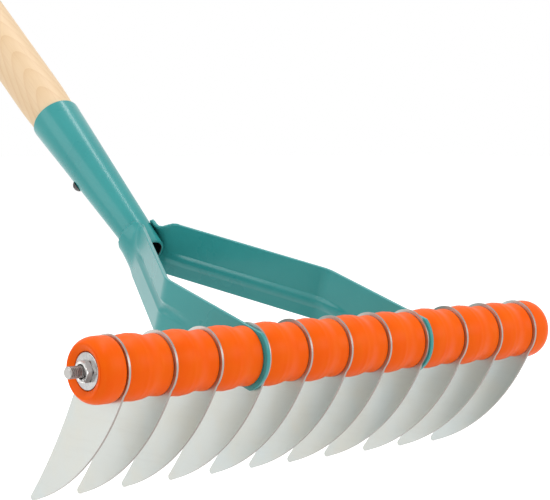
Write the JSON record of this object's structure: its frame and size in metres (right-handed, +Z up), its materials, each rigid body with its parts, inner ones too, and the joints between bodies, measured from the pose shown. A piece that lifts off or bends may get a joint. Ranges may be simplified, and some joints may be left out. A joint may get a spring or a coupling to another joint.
{
  "type": "thatch rake",
  "caption": "Lawn thatch rake: curved steel blades spaced by free-turning plastic rollers on a cross axle, held by a two-armed fork with a socket for a long wooden handle.",
  "frame": {"origin": "on the ground under the middle of the box round the rake, level with the blade tips", "axes": "+X runs along the axle, +Y points back along the handle to the user, +Z is up"},
  "size_m": [0.3324, 1.2637, 1.0343],
  "materials": {
    "ash_wood": "pale ash, sanded and lightly oiled",
    "teal_paint": "glossy teal powder coat",
    "black_screw": "blackened steel",
    "blade_steel": "pale zinc plate with a faint yellow and blue tint",
    "zinc_steel": "zinc plate",
    "orange_plastic": "satin moulded orange plastic"
  },
  "bodies": {
    "fork": {"handle": "ash_wood", "socket": "teal_paint", "handle_screw": "black_screw", "arm_left": "teal_paint", "arm_right": "teal_paint", "weld_left": "teal_paint", "weld_right": "teal_paint"},
    "blade_pack": {"axle_rod": "zinc_steel", "washer_left": "zinc_steel", "washer_right": "zinc_steel", "nut_left": "zinc_steel", "nut_right": "zinc_steel", "blade_01": "blade_steel", "blade_02": "blade_steel", "blade_03": "blade_steel", "blade_04": "blade_steel", "blade_05": "blade_steel", "blade_06": "blade_steel", "blade_07": "blade_steel", "blade_08": "blade_steel", "blade_09": "blade_steel", "blade_10": "blade_steel", "blade_11": "blade_steel", "sleeve_01": "zinc_steel", "sleeve_02": "zinc_steel", "sleeve_03": "zinc_steel", "sleeve_04": "zinc_steel", "sleeve_05": "zinc_steel", "sleeve_06": "zinc_steel", "sleeve_07": "zinc_steel", "sleeve_08": "zinc_steel", "sleeve_09": "zinc_steel", "sleeve_10": "zinc_steel", "sleeve_11": "zinc_steel", "sleeve_12": "zinc_steel"},
    "roller_01": {"roller_01": "orange_plastic"},
    "roller_02": {"roller_02": "orange_plastic"},
    "roller_03": {"roller_03": "orange_plastic"},
    "roller_04": {"roller_04": "orange_plastic"},
    "roller_05": {"roller_05": "orange_plastic"},
    "roller_06": {"roller_06": "orange_plastic"},
    "roller_07": {"roller_07": "orange_plastic"},
    "roller_08": {"roller_08": "orange_plastic"},
    "roller_09": {"roller_09": "orange_plastic"},
    "roller_10": {"roller_10": "orange_plastic"},
    "roller_11": {"roller_11": "orange_plastic"},
    "roller_12": {"roller_12": "orange_plastic"}
  },
  "joints": [
    {"name": "blade_tilt", "type": "hinge", "parent": "fork", "child": "blade_pack", "pos_m": [0, -0.61428, 0.07052], "axis": [1, 0, 0], "range_deg": [-75, 45]},
    {"name": "roller_01_spin", "type": "hinge", "parent": "blade_pack", "child": "roller_01", "pos_m": [0, -0.61428, 0.07052], "axis": [1, 0, 0], "continuous": true},
    {"name": "roller_02_spin", "type": "hinge", "parent": "blade_pack", "child": "roller_02", "pos_m": [0, -0.61428, 0.07052], "axis": [1, 0, 0], "continuous": true},
    {"name": "roller_03_spin", "type": "hinge", "parent": "blade_pack", "child": "roller_03", "pos_m": [0, -0.61428, 0.07052], "axis": [1, 0, 0], "continuous": true},
    {"name": "roller_04_spin", "type": "hinge", "parent": "blade_pack", "child": "roller_04", "pos_m": [0, -0.61428, 0.07052], "axis": [1, 0, 0], "continuous": true},
    {"name": "roller_05_spin", "type": "hinge", "parent": "blade_pack", "child": "roller_05", "pos_m": [0, -0.61428, 0.07052], "axis": [1, 0, 0], "continuous": true},
    {"name": "roller_06_spin", "type": "hinge", "parent": "blade_pack", "child": "roller_06", "pos_m": [0, -0.61428, 0.07052], "axis": [1, 0, 0], "continuous": true},
    {"name": "roller_07_spin", "type": "hinge", "parent": "blade_pack", "child": "roller_07", "pos_m": [0, -0.61428, 0.07052], "axis": [1, 0, 0], "continuous": true},
    {"name": "roller_08_spin", "type": "hinge", "parent": "blade_pack", "child": "roller_08", "pos_m": [0, -0.61428, 0.07052], "axis": [1, 0, 0], "continuous": true},
    {"name": "roller_09_spin", "type": "hinge", "parent": "blade_pack", "child": "roller_09", "pos_m": [0, -0.61428, 0.07052], "axis": [1, 0, 0], "continuous": true},
    {"name": "roller_10_spin", "type": "hinge", "parent": "blade_pack", "child": "roller_10", "pos_m": [0, -0.61428, 0.07052], "axis": [1, 0, 0], "continuous": true},
    {"name": "roller_11_spin", "type": "hinge", "parent": "blade_pack", "child": "roller_11", "pos_m": [0, -0.61428, 0.07052], "axis": [1, 0, 0], "continuous": true},
    {"name": "roller_12_spin", "type": "hinge", "parent": "blade_pack", "child": "roller_12", "pos_m": [0, -0.61428, 0.07052], "axis": [1, 0, 0], "continuous": true}
  ]
}
